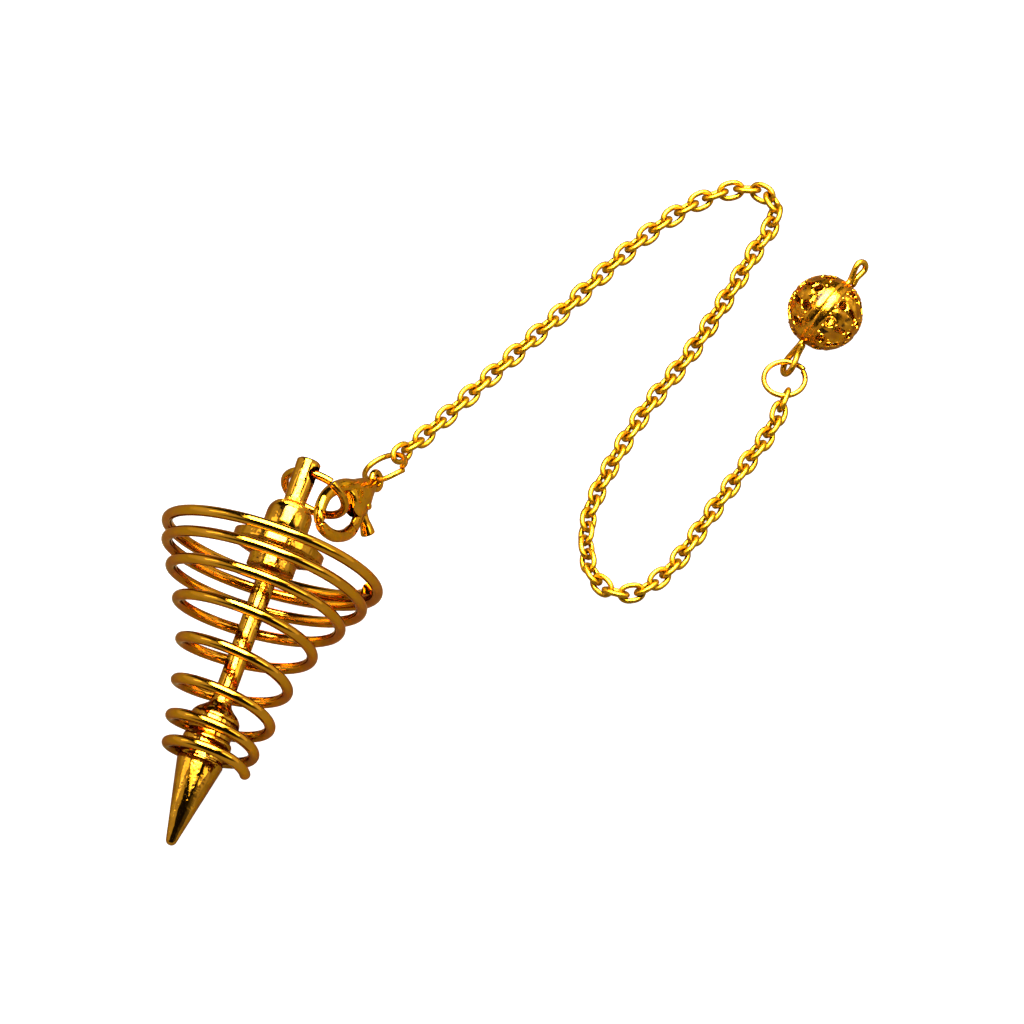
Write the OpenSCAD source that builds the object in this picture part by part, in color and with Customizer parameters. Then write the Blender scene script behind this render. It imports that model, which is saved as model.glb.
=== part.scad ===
// Spiral cone pendulum on a cable chain, laid out on a table.
// A cast core and the coil round it lie on their side. A lobster clasp joins the bail ring
// to the chain, and a pierced ball on an eye pin ends the chain.
// X runs to the right, Y away from the viewer and Z up from the table, in millimetres.

/* [Core] */
// Length of the cast core from the post's end to the tip
core_length = 43.9; // [42:0.1:47]
// Diameter of the post
post_d = 2.6; // [2.5:0.05:2.9]
// Diameter of the cross hole that holds the bail ring
post_hole_d = 1.85; // [1.75:0.05:1.9]
// Largest diameter of the bell below the post
bell_d = 4.9; // [4.2:0.1:5.5]
// Diameter of the thin disc
disc_d = 9.9; // [8:0.1:12]
// Thickness of the disc's rim
disc_rim = 1.0; // [0.6:0.1:1.4]
// Diameter of the collar below the disc
collar_d = 5.2; // [4.4:0.1:5.8]
// Diameter of the shaft inside the coil
shaft_d = 2.2; // [1.9:0.05:2.8]
// Diameter of the knob above the cone
knob_d = 5.4; // [4.8:0.1:6]
// Radius of the rounded tip
tip_r = 0.6; // [0.4:0.05:0.8]

/* [Coil] */
// Diameter of the coil's wire
coil_wire_d = 1.2; // [1:0.05:1.25]
// Diameter of the widest turn, over the wire
coil_d = 24.8; // [22:0.1:27]
// Length of the coil along the core
coil_length = 24.15; // [23:0.05:26]

/* [Clasp and rings] */
// Outer diameter of the bail ring
bail_d = 7.85; // [7.6:0.05:8.1]
// Wire diameter of the bail ring
bail_wire_d = 0.9; // [0.8:0.05:1]
// Outer diameter of the jump ring on the clasp
small_ring_d = 5.2; // [5:0.1:5.6]
// Wire diameter of the jump ring on the clasp
small_wire_d = 0.6; // [0.5:0.05:0.65]
// Outer diameter of the jump ring at the ball
end_ring_d = 4.9; // [4.7:0.1:5.2]
// Wire diameter of the jump ring at the ball
end_wire_d = 0.52; // [0.45:0.05:0.6]
// Diameter of the clasp's rivet
rivet_d = 0.8; // [0.6:0.05:1]
// Clearance round the rivet, on the radius
rivet_clearance = 0.04; // [0.02:0.01:0.08]
// Clearance on each side of the lever in its slot
lever_clearance = 0.1; // [0.06:0.01:0.15]

/* [Chain] */
// Distance from link to link
link_pitch = 1.76; // [1.7:0.01:2.0]
// Outer width of a link
link_width = 2.2; // [2.1:0.05:2.4]
// Wire diameter of a link
link_wire_d = 0.5; // [0.4:0.02:0.52]
// Play between the wires of two links
link_play = 0.13; // [0.12:0.01:0.2]

/* [Ball] */
// Diameter of the ball
ball_d = 8; // [7.6:0.1:8.4]
// Thickness of the ball's shell
ball_shell = 0.5; // [0.4:0.05:0.8]
// Wire diameter of the eye pin
pin_wire_d = 0.6; // [0.5:0.05:0.7]
// Clearance of the pin in the ball's end holes, on the radius
pin_clearance = 0.08; // [0.05:0.01:0.1]

/* [Hidden] */
gold = [0.93, 0.70, 0.18];
pale_gold = [0.96, 0.78, 0.30];

// Moves the laid-out piece so that its outline box is centred on the origin.
centre_shift = [-0.46, 0.467, 0];

coil_wire_r = coil_wire_d / 2;
bail_wire_r = bail_wire_d / 2;
small_wire_r = small_wire_d / 2;
end_wire_r = end_wire_d / 2;
link_wire_r = link_wire_d / 2;
pin_wire_r = pin_wire_d / 2;

// Small helpers: mixing, directions and smooth reading of a table by its first column.
function mix(a, b, share) = a + (b - a) * share;
function unit(v) = v / norm(v);
function last(list) = list[len(list) - 1];
function row_before(table, at) = max([0, for (i = [0 : len(table) - 2]) if (table[i][0] <= at) i]);
function slope_at(table, i, column) =
    let (a = max(i - 1, 0), b = min(i + 1, len(table) - 1))
    (table[b][column] - table[a][column]) / (table[b][0] - table[a][0]);
function smooth_row(table, at, column) =
    let (
        i = row_before(table, at),
        span = table[i + 1][0] - table[i][0],
        t = (at - table[i][0]) / span,
        start = table[i][column],
        end = table[i + 1][column],
        leave = slope_at(table, i, column) * span,
        arrive = slope_at(table, i + 1, column) * span
    )
    start + t * leave + t * t * (3 * (end - start) - 2 * leave - arrive)
        + t * t * t * (2 * (start - end) + leave + arrive);

// Closed skin over equal rings of points; a loop joins its last ring to its first.
module skin(rings, loop = false) {
    sides = len(rings[0]);
    count = len(rings);
    spans = loop ? count : count - 1;
    walls = [
        for (i = [0 : spans - 1], k = [0 : sides - 1])
            let (j = (i + 1) % count, m = (k + 1) % sides)
            [i * sides + k, i * sides + m, j * sides + m, j * sides + k]
    ];
    ends = loop ? [] : [
        [for (k = [sides - 1 : -1 : 0]) k],
        [for (k = [0 : sides - 1]) (count - 1) * sides + k]
    ];
    polyhedron([for (ring = rings) each ring], concat(walls, ends), convexity = 10);
}

// Ring of points round a wire, from two directions across it.
function wire_ring(centre, across, up, radius, sides) = [
    for (k = [0 : sides - 1])
        let (a = 360 * (k + 0.5) / sides)
        centre + radius * (cos(a) * across + sin(a) * up)
];

// Flat wire bent in one plane: the rings follow the path's own direction.
function flat_wire(path, normal, radius, sides, loop = false) = [
    for (i = [0 : len(path) - 1])
        let (
            count = len(path),
            before = loop ? path[(i + count - 1) % count] : path[max(i - 1, 0)],
            after = loop ? path[(i + 1) % count] : path[min(i + 1, count - 1)],
            along = unit(after - before),
            across = unit(cross(along, normal))
        )
        wire_ring(path[i], across, normal, radius, sides)
];

post_r = post_d / 2;
bell_r = bell_d / 2;
disc_r = disc_d / 2;
collar_r = collar_d / 2;
shaft_r = shaft_d / 2;
knob_r = knob_d / 2;
post_hole_down = 1.45;
post_hole_roll = 18;
disc_down = 9.4;
disc_under = disc_down + disc_rim;
cone_up = 9.4;
cone_r = knob_r - 0.18;

// Core outline below the post's end.
core_upper = [ // [down, radius]
    [0, post_r - 0.25],
    [0.25, post_r],
    [4.7, post_r - 0.12],
    [4.9, post_r - 0.08],
    [5.15, mix(post_r, bell_r, 0.4)],
    [5.5, mix(post_r, bell_r, 0.7)],
    [6.0, mix(post_r, bell_r, 0.93)],
    [6.7, bell_r],
    [7.5, bell_r],
    [8.3, bell_r - 0.1],
    [disc_down, bell_r - 0.3],
    [disc_down + 0.05, disc_r - 0.2],
    [disc_down + 0.2, disc_r],
    [disc_under, disc_r],
    [disc_under + 0.2, disc_r - 0.2],
    [disc_under + 0.9, collar_r + 0.15],
    [disc_under + 1.1, collar_r],
    [disc_under + 2.1, collar_r],
    [disc_under + 2.3, collar_r - 0.15],
    [disc_under + 2.4, shaft_r + 0.5],
    [disc_under + 2.7, shaft_r + 0.15],
    [disc_under + 3.2, shaft_r]
];

// Core outline above the tip, down to the start of the cone.
core_lower = [ // [up, radius]
    [cone_up + 7.2, shaft_r],
    [cone_up + 6.6, shaft_r + 0.12],
    [cone_up + 6.0, mix(shaft_r, knob_r, 0.3)],
    [cone_up + 5.5, mix(shaft_r, knob_r, 0.55)],
    [cone_up + 5.1, mix(shaft_r, knob_r, 0.82)],
    [cone_up + 4.7, knob_r],
    [cone_up + 4.1, knob_r],
    [cone_up + 3.6, knob_r - 0.15],
    [cone_up + 3.3, knob_r - 0.38],
    [cone_up + 2.9, knob_r - 0.38],
    [cone_up + 2.6, knob_r - 0.1],
    [cone_up + 2.2, knob_r - 0.04],
    [cone_up + 1.5, knob_r - 0.04],
    [cone_up + 1.1, knob_r - 0.12],
    [cone_up + 0.8, knob_r - 0.32],
    [cone_up + 0.5, knob_r - 0.32],
    [cone_up + 0.2, cone_r - 0.04],
    [cone_up, cone_r]
];

tip_reach = norm([cone_r, cone_up - tip_r]);
cone_slope = atan(cone_r / (cone_up - tip_r)) - asin(tip_r / tip_reach);
core_outline = concat(
    [[0, 0]],
    [for (row = core_upper) [row[1], -row[0]]],
    [for (row = core_lower) [row[1], row[0] - core_length]],
    [
        for (k = [0 : 5])
            let (a = mix(cone_slope, 90, k / 6))
            [tip_r * cos(a), tip_r * (1 - sin(a)) - core_length]
    ],
    [[0, -core_length]]
);

module core() {
    color(gold)
        lie_down()
            difference() {
                rotate_extrude($fn = 48)
                    polygon(core_outline);
                translate([0, 0, -post_hole_down])
                    rotate([0, 0, -post_hole_roll])
                        rotate([0, 90, 0])
                            cylinder(h = post_d + 2, d = post_hole_d, center = true, $fn = 32);
            }
}

// The coil winds down the core from a first half turn that lies against the next one.
coil_steps = 18;
coil_turns = 7.97;
coil_top = 10.7;
coil_start_angle = 11.8;
coil_play = 1.0;
coil_inner_r = knob_r + coil_wire_r + coil_play;
coil_outer_r = coil_d / 2 - coil_wire_r - 0.1;
coil_offset = [-0.19, -0.22];
coil_lean = [0.0305, -0.033];
coil_rows = [ // [turn, radius share, length share]
    [0, 0.838, 0.021],
    [0.25, 0.986, -0.004],
    [0.5, 1.01, 0],
    [1, 0.988, 0.036],
    [2, 0.853, 0.1315],
    [3, 0.65, 0.248],
    [4, 0.397, 0.402],
    [5, 0.219, 0.582],
    [6, 0.14, 0.757],
    [7, 0.045, 0.895],
    [7.5, 0.02, 0.95],
    [7.8, 0.015, 0.97],
    [8, 0.02, 0.995]
];

function coil_point(turn) =
    let (
        radius = mix(coil_inner_r, coil_outer_r, smooth_row(coil_rows, turn, 1)),
        drop = coil_length * smooth_row(coil_rows, turn, 2),
        x = radius * cos(360 * turn),
        y = radius * sin(360 * turn),
        px = x + coil_offset.x + coil_lean.x * drop,
        py = y + coil_offset.y + coil_lean.y * drop,
        pz = coil_lean.x * x + coil_lean.y * y - drop - coil_top
    )
    [
        px * cos(coil_start_angle) - py * sin(coil_start_angle),
        px * sin(coil_start_angle) + py * cos(coil_start_angle),
        pz
    ];

coil_count = round(coil_turns * coil_steps);
coil_path = [for (i = [0 : coil_count]) coil_point(coil_turns * i / coil_count)];
coil_rings = [
    for (i = [0 : coil_count])
        let (
            p = coil_path[i],
            along = unit(coil_path[min(i + 1, coil_count)] - coil_path[max(i - 1, 0)]),
            out = [p.x, p.y, 0],
            across = unit(out - (out * along) * along)
        )
        wire_ring(p, across, cross(across, along), coil_wire_r, 8)
];

module coil() {
    color(pale_gold)
        lie_down()
            skin(coil_rings);
}

// The core rests on its tip and on the coil: the lean is the first at which the coil touches.
post_end = [-21.2, -3.9];
heading = 20.7;
tip_centre = core_length - tip_r;
function rest_angle(p) =
    atan2(p.y, tip_centre + p.z) + asin((coil_wire_r - tip_r) / norm([p.y, tip_centre + p.z]));
lean = max([for (p = coil_path) rest_angle(p)]);
post_end_height = tip_r + tip_centre * sin(lean);

module lie_down() {
    translate(centre_shift + [post_end.x, post_end.y, post_end_height])
        rotate([0, 0, -heading])
            rotate([lean - 90, 0, 0])
                children();
}

function laid_down(p) =
    let (y = p.y * sin(lean) + p.z * cos(lean))
    [
        post_end.x + p.x * cos(heading) + y * sin(heading),
        post_end.y - p.x * sin(heading) + y * cos(heading),
        post_end_height - p.y * cos(lean) + p.z * sin(lean)
    ];

// A jump ring lies in XY round Z, with its cut centred on gap_at degrees from X.
module jump_ring(outer_d, wire_d, gap_at, gap = 5) {
    rotate([0, 0, gap_at + gap / 2])
        rotate_extrude(angle = 360 - gap, $fn = 64)
            translate([(outer_d - wire_d) / 2, 0])
                circle(d = wire_d, $fn = 24);
}

// The bail ring hangs upright in the post's hole, swung a little towards the clasp.
bail_heading = 25;
bail_swing = 19.2;
bail_rest = [0, 0.27, -0.27];
bail_r = bail_d / 2 - bail_wire_r;
bail_sag = (bail_r - sqrt(bail_r * bail_r - post_r * post_r)) / 2;
bail_out = [cos(bail_heading), -sin(bail_heading), 0];
post_hole_at = laid_down([0, 0, -post_hole_down]);
bail_centre = post_hole_at + bail_rest
    + (bail_r - bail_sag) * (sin(bail_swing) * bail_out - cos(bail_swing) * [0, 0, 1]);

module bail_ring() {
    color(gold)
        translate(centre_shift + bail_centre)
            rotate([0, 0, -bail_heading])
                rotate([90, 0, 0])
                    jump_ring(bail_d, bail_wire_d, 55);
}

// The clasp hooks the bail ring with its nose and lies with its eye and thumb nub near the table.
// Its own frame has the eye at the origin, X towards the nose, Y towards the lever. It goes
// with the bail ring, and is lifted by it where the post lies higher.
eye_from_bail = [6.374, 7.602, -8.77];
eye_rest_height = 2.56;
eye_lift = max(0, bail_centre.z + eye_from_bail.z - eye_rest_height);
clasp_eye_at = [
    bail_centre.x + eye_from_bail.x, bail_centre.y + eye_from_bail.y, eye_rest_height + eye_lift
];
clasp_heading = 239.6;
clasp_rise = 26.5;
clasp_roll = -60.2;
clasp_eye_d = 2.5;
clasp_eye_wire_d = 0.75;
rivet_at = [4.2, 1.2];
lever_thickness = 0.9;
lever_play = 0.15;

body_rows = [ // [x, low, high, thickness]
    [0.75, -0.6, 0.55, 1.2],
    [1.5, -1.0, 0.95, 1.6],
    [2.5, -1.4, 1.55, 2.0],
    [3.5, -1.75, 2.1, 2.3],
    [4.5, -2.1, 2.4, 2.4],
    [5.4, -2.4, 2.3, 2.4],
    [6.1, -2.55, 1.7, 2.2]
];
hook_rows = [ // [x, y, width, thickness]
    [4.7, -1.25, 1.5, 1.9],
    [6.1, -1.95, 1.45, 1.8],
    [7.4, -2.42, 1.35, 1.6],
    [8.8, -2.62, 1.3, 1.45],
    [10.2, -2.55, 1.3, 1.35],
    [11.35, -2.15, 1.3, 1.35],
    [12.15, -1.6, 1.3, 1.3],
    [12.55, -1.05, 1.25, 1.2],
    [12.62, -0.8, 1.2, 1.15],
    [12.62, -0.6, 1.2, 1.15]
];
lever_rows = [ // [x, y, width, thickness]
    [4.4, 1.35, 1.5, lever_thickness],
    [5.3, 2.05, 1.5, lever_thickness],
    [6.2, 2.5, 1.45, lever_thickness],
    [6.8, 2.7, 1.4, lever_thickness],
    [7.3, 2.72, 1.4, 1.3],
    [8.3, 2.68, 1.35, 1.4],
    [9.5, 2.35, 1.35, 1.4],
    [10.7, 1.8, 1.35, 1.4],
    [11.7, 1.0, 1.3, 1.35],
    [12.35, 0.25, 1.3, 1.25],
    [12.6, -0.2, 1.2, 1.15],
    [12.62, -0.3, 1.2, 1.15],
    [12.62, -0.6 + lever_play, 1.2, 1.15]
];
nub_rows = [ // [x, y, width, thickness]
    [4.1, 1.5, 1.5, lever_thickness],
    [4.15, 2.3, 1.15, lever_thickness],
    [4.15, 3.1, 1.05, lever_thickness],
    [4.1, 3.6, 1.3, 1.2],
    [4.05, 4.05, 1.3, 1.2],
    [4.0, 4.3, 0.8, 0.8]
];

// Oval sections across a flat path of rows [x, y, width, thickness].
function flat_bar(rows, sides) = [
    for (i = [0 : len(rows) - 1])
        let (
            a = rows[max(i - 1, 0)],
            b = rows[min(i + 1, len(rows) - 1)],
            along = unit([b[0] - a[0], b[1] - a[1], 0]),
            across = [along.y, -along.x, 0]
        )
        [
            for (k = [0 : sides - 1])
                let (t = 360 * (k + 0.5) / sides)
                [rows[i][0], rows[i][1], 0]
                    + rows[i][2] / 2 * cos(t) * across
                    + [0, 0, rows[i][3] / 2 * sin(t)]
        ]
];

module place_clasp() {
    translate(centre_shift + clasp_eye_at)
        rotate([0, 0, clasp_heading])
            rotate([0, -clasp_rise, 0])
                rotate([clasp_roll, 0, 0])
                    children();
}

module clasp_body() {
    body_sides = 16;
    slot = lever_thickness + 2 * lever_clearance;
    color(gold)
        place_clasp()
            difference() {
                union() {
                    rotate_extrude($fn = 48)
                        translate([(clasp_eye_d - clasp_eye_wire_d) / 2, 0])
                            circle(d = clasp_eye_wire_d, $fn = 24);
                    skin([
                        for (row = body_rows) [
                            for (k = [0 : body_sides - 1])
                                let (t = 360 * (k + 0.5) / body_sides)
                                [
                                    row[0],
                                    mix(row[1], row[2], (1 + cos(t)) / 2),
                                    -row[3] / 2 * sin(t)
                                ]
                        ]
                    ]);
                    skin(flat_bar(hook_rows, 12));
                }
                translate([rivet_at.x - 2.4, rivet_at.y - 1.3, -slot / 2])
                    cube([6, 4, slot]);
            }
    color(gold)
        place_clasp()
            translate([rivet_at.x, rivet_at.y, 0])
                cylinder(h = 2.35, d = rivet_d, center = true, $fn = 32);
}

module clasp_lever() {
    color(pale_gold)
        place_clasp()
            difference() {
                union() {
                    translate([rivet_at.x, rivet_at.y, 0])
                        cylinder(h = lever_thickness, d = rivet_d + 1.2, center = true, $fn = 32);
                    skin(flat_bar(lever_rows, 12));
                    skin(flat_bar(nub_rows, 12));
                }
                translate([rivet_at.x, rivet_at.y, 0])
                    cylinder(h = 4, r = rivet_d / 2 + rivet_clearance, center = true, $fn = 32);
            }
}

// The clasp's eye and the first link hold one ring up on a slant; the other lies flat on its eye.
small_r = small_ring_d / 2 - small_wire_r;
end_r = end_ring_d / 2 - end_wire_r;
clasp_ring_tilt = 32.8;
clasp_ring_turn = 132.5;
clasp_ring_lift = 0.4;
clasp_ring_at = [
    clasp_eye_at.x + 0.94, clasp_eye_at.y + 2.1,
    small_r * sin(clasp_ring_tilt) + small_wire_r + clasp_ring_lift + eye_lift
];
end_ring_at = [28.75, 16.24, 1.2];

module clasp_ring() {
    color(pale_gold)
        translate(centre_shift + clasp_ring_at)
            rotate([0, 0, clasp_ring_turn])
                rotate([0, clasp_ring_tilt, 0])
                    jump_ring(small_ring_d, small_wire_d, 193);
}

module end_ring() {
    color(pale_gold)
        translate(centre_shift + end_ring_at)
            jump_ring(end_ring_d, end_wire_d, 45);
}

// The chain's route over the table, from the clasp ring round its curve to the end ring.
link_height = (link_width - link_wire_d) / 2 * sin(45) + link_wire_r + 0.05;
chain_points = [ // [x, y]
    [-9.2, 9.1],
    [-3.4, 15.5],
    [5.1, 24.8],
    [13.5, 34.2],
    [18.7, 38.6],
    [22.4, 40.5],
    [24.6, 40.9],
    [26.7, 40.4],
    [27.9, 38.6],
    [27.5, 36.2],
    [25.8, 33.0],
    [22.3, 26.1],
    [18.7, 19.5],
    [13.7, 11.8],
    [9.9, 4.1],
    [8.1, -1.0],
    [7.8, -4.8],
    [8.3, -8.2],
    [9.9, -10.5],
    [12.6, -11.1],
    [15.1, -9.5],
    [17.3, -7.0],
    [21.6, 0.3],
    [24.7, 5.5],
    [27.4, 10.1]
];
chain_start_angle = 53;
chain_end_angle = 277;
last_link_roll = 70;
function chain_reach(ring_r, wire_d) = ring_r - (wire_d + link_play) / 2;
chain_start = clasp_ring_at
    + chain_reach(small_r, small_wire_d) * unit([
        cos(chain_start_angle), sin(chain_start_angle),
        -tan(clasp_ring_tilt) * cos(chain_start_angle - clasp_ring_turn)
    ]);
chain_end = end_ring_at
    + chain_reach(end_r, end_wire_d) * [cos(chain_end_angle), sin(chain_end_angle), 0];
route = concat([chain_start], [for (p = chain_points) [p.x, p.y, link_height]], [chain_end]);

route_steps = 10;
function route_way(i) =
    let (way = route[min(i + 1, len(route) - 1)] - route[max(i - 1, 0)])
    i == 0 || i == len(route) - 1 ? way : [way.x, way.y, 0];
function route_point(i, t) =
    let (
        start = route[i],
        end = route[i + 1],
        span = norm(end - start),
        leave = unit(route_way(i)) * span,
        arrive = unit(route_way(i + 1)) * span
    )
    start + t * leave + t * t * (3 * (end - start) - 2 * leave - arrive)
        + t * t * t * (2 * (start - end) + leave + arrive);
fine_route = [
    for (i = [0 : len(route) - 2], k = [0 : route_steps - 1]) route_point(i, k / route_steps),
    last(route)
];
route_lengths = [
    for (i = 0, sum = 0; i < len(fine_route); sum = sum
        + (i + 1 < len(fine_route) ? norm(fine_route[i + 1] - fine_route[i]) : 0), i = i + 1) sum
];
chain_length = last(route_lengths);
link_count = round(chain_length / link_pitch);
link_step = chain_length / link_count;
function along_route(distance) =
    let (
        i = max([0, for (k = [0 : len(fine_route) - 2]) if (route_lengths[k] <= distance) k]),
        share = (distance - route_lengths[i]) / (route_lengths[i + 1] - route_lengths[i])
    )
    mix(fine_route[i], fine_route[i + 1], share);
chain_joints = [for (i = [0 : link_count]) along_route(link_step * i)];

// One oval link lies in XY with its length along X.
link_bend_r = (link_width - link_wire_d) / 2;
link_straight = (link_step + link_wire_d + link_play) / 2 - link_bend_r;
link_path = [
    for (side = [1, -1], k = [0 : 5])
        let (a = 36 * k - 90)
        side * [link_straight + link_bend_r * cos(a), link_bend_r * sin(a), 0]
];

module link() {
    skin(flat_wire(link_path, [0, 0, 1], link_wire_r, 5, loop = true), loop = true);
}

function link_roll(i) = (i % 2 == 0 ? 1 : -1) * (i == link_count - 1 ? last_link_roll : 45);

module chain() {
    color(gold)
        for (i = [0 : link_count - 1]) {
            a = chain_joints[i];
            b = chain_joints[i + 1];
            way = b - a;
            translate(centre_shift + (a + b) / 2)
                rotate([0, 0, atan2(way.y, way.x)])
                    rotate([0, -asin(way.z / norm(way)), 0])
                        rotate([link_roll(i), 0, 0])
                            link();
        }
}

// The ball rests on the table with the eye pin through it, low towards the end ring.
ball_r = ball_d / 2;
ball_at = [33.05, 22.8, ball_r];
pin_heading = 50;
pin_rise = 18;
pin_hole_r = pin_wire_r + pin_clearance;
pin_stand_off = 0.35;

function pin_way(heading, rise) = [
    cos(heading) * cos(rise), sin(heading) * cos(rise), sin(rise)
];

// A closed eye: out along one side, round the end and back beside its own start.
// Its path is given as [out, aside] from the bend.
eye_sides = 8;
function eye_path(reach, half_width) =
    let (r = half_width, round_at = reach - half_width)
    [
        [0, 0],
        [0.35 * round_at, 0.4 * r],
        [0.75 * round_at, 0.85 * r],
        for (k = [0 : 8]) [round_at + r * sin(22.5 * k), r * cos(22.5 * k)],
        [0.75 * round_at, -0.92 * r],
        [0.4 * round_at, -0.5 * r - pin_wire_r],
        [0.1 * round_at, -2 * pin_wire_r - 0.06]
    ];
function eye_points(start, way, aside, reach, half_width) = [
    for (p = eye_path(reach, half_width)) start + p.x * way + p.y * aside
];

axis_way = pin_way(pin_heading, pin_rise);
lower_way = -pin_way(pin_heading + 4, 36);
lower_level = unit([-lower_way.y, lower_way.x, 0]);
lower_aside = -cos(45) * lower_level - sin(45) * cross(lower_way, lower_level);
upper_way = pin_way(pin_heading - 1, pin_rise);
upper_level = unit([-upper_way.y, upper_way.x, 0]);
upper_aside = cos(62) * upper_level + sin(62) * cross(upper_way, upper_level);
lower_start = ball_at - (ball_r + pin_stand_off) * axis_way;
upper_start = ball_at + (ball_r + pin_stand_off) * axis_way;
lower_eye = eye_points(lower_start, lower_way, lower_aside, 3.5, 1.05);
upper_eye = eye_points(upper_start, upper_way, upper_aside, 2.4, 0.63);
lower_normal = cross(lower_way, lower_aside);
upper_normal = cross(upper_way, upper_aside);
shaft_shares = [0.03, 0.08, 0.2, 0.35, 0.5, 0.65, 0.8, 0.92, 0.97];
pin_stations = concat(
    [for (i = [len(lower_eye) - 1 : -1 : 0]) [lower_eye[i], -lower_normal]],
    [
        for (share = shaft_shares)
            [mix(lower_start, upper_start, share), unit(mix(-lower_normal, upper_normal, share))]
    ],
    [for (p = upper_eye) [p, upper_normal]]
);

module eye_pin() {
    count = len(pin_stations);
    color(pale_gold)
        translate(centre_shift)
            skin([
                for (i = [0 : count - 1])
                    let (
                        before = pin_stations[max(i - 1, 0)][0],
                        after = pin_stations[min(i + 1, count - 1)][0],
                        along = unit(after - before),
                        across = unit(cross(along, pin_stations[i][1]))
                    )
                    wire_ring(
                        pin_stations[i][0], across, cross(across, along), pin_wire_r, eye_sides
                    )
            ]);
}

// The ball is two pierced halves: their seam runs along the pin, and each half has its own pole.
seam_roll = 12.6;
level_way = unit([-axis_way.y, axis_way.x, 0]);
pole_way = cos(seam_roll) * level_way + sin(seam_roll) * cross(axis_way, level_way);
facing_way = cross(axis_way, pole_way);
opening_rows = [ // [latitude from the seam, count, width, length towards the pole]
    [24, 10, 1.0, 0],
    [46, 8, 0.6, 1.5],
    [69, 6, 0.75, 0]
];

module opening(width, length) {
    translate([0, 0, ball_r - 2 * ball_shell])
        if (length > 0)
            translate([-length / 2, -width / 2, 0])
                cube([length, width, 3 * ball_shell]);
        else
            cylinder(h = 3 * ball_shell, d = width, $fn = 24);
}

module ball() {
    color(gold)
        translate(centre_shift + ball_at)
            multmatrix([
                [facing_way.x, axis_way.x, pole_way.x, 0],
                [facing_way.y, axis_way.y, pole_way.y, 0],
                [facing_way.z, axis_way.z, pole_way.z, 0]
            ])
                difference() {
                    sphere(r = ball_r, $fn = 64);
                    sphere(r = ball_r - ball_shell, $fn = 64);
                    rotate([90, 0, 0])
                        cylinder(h = ball_d + 2, r = pin_hole_r, center = true, $fn = 32);
                    for (side = [0, 180], row = opening_rows, k = [0 : row[1] - 1])
                        rotate([side, 0, 0])
                            rotate([0, 0, 360 * (k + 0.5) / row[1]])
                                rotate([0, 90 - row[0], 0])
                                    opening(row[2], row[3]);
                }
}

core();
coil();
bail_ring();
clasp_body();
clasp_lever();
clasp_ring();
chain();
end_ring();
eye_pin();
ball();
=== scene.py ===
import math
import random

import bpy
from mathutils import Matrix, Vector


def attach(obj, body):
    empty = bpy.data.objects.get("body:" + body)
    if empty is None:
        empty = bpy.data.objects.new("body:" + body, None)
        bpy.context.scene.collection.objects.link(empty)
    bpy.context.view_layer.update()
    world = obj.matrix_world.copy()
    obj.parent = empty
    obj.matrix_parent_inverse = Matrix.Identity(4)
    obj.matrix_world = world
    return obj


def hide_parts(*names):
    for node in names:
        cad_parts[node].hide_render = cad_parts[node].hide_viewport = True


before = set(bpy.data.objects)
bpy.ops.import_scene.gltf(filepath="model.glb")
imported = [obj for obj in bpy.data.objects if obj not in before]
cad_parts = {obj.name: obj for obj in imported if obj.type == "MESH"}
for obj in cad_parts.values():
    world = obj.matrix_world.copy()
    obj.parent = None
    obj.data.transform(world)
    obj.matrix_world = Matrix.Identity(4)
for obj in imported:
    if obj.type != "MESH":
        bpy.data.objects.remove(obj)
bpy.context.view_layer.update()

mm = 0.001
# every length below is in millimetres and every angle in degrees, unless a note says otherwise;
# the shift moves the laid-out piece so that its outline is centred, as in the part
centreShift = Vector((-0.46, 0.467, 0))
print("frame loaded")


# small tools

def unit(v):
    return Vector(v).normalized()


def mix(a, b, share):
    return a + (b - a) * share


def linearColour(code):
    # sRGB hex to linear, with alpha
    parts = [int(code[i:i + 2], 16) / 255 for i in (1, 3, 5)]
    return tuple(p / 12.92 if p < 0.04045 else ((p + 0.055) / 1.055) ** 2.4 for p in parts) + (1,)


def selectOnly(*pieces):
    bpy.ops.object.select_all(action="DESELECT")
    for piece in pieces:
        piece.select_set(True)
    bpy.context.view_layer.objects.active = pieces[0]


def named(name):
    piece = bpy.context.object
    piece.name = name
    piece.data.name = name
    return piece


def applyModifier(piece, kind, **settings):
    selectOnly(piece)
    modifier = piece.modifiers.new(kind.title(), kind)
    for key, value in settings.items():
        setattr(modifier, key, value)
    bpy.ops.object.modifier_apply(modifier=modifier.name)


def joinPieces(name, pieces):
    selectOnly(*pieces)
    bpy.ops.object.join()
    return named(name)


def softenEdges(piece, width, sharper, segments=2):
    # a small round on every edge that turns more than so many degrees
    applyModifier(piece, "BEVEL", width=width, segments=segments, limit_method="ANGLE",
                  angle_limit=math.radians(sharper))


def cutWith(piece, cutter, operation="DIFFERENCE"):
    applyModifier(piece, "BOOLEAN", object=cutter, operation=operation, solver="EXACT")
    bpy.data.objects.remove(cutter)


def settle(piece, place, body, nodes, material, smoothAngle=35):
    # millimetres to metres, the place into the mesh, then the finish and the body it rides on
    piece.data.transform(Matrix.Scale(mm, 4) @ place @ piece.matrix_world)
    piece.matrix_world = Matrix.Identity(4)
    selectOnly(piece)
    bpy.ops.object.shade_smooth_by_angle(angle=math.radians(smoothAngle))
    piece.data.materials.clear()
    piece.data.materials.append(material)
    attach(piece, body)
    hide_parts(*nodes)
    print(piece.name, len(piece.data.polygons), "faces")
    return piece


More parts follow.
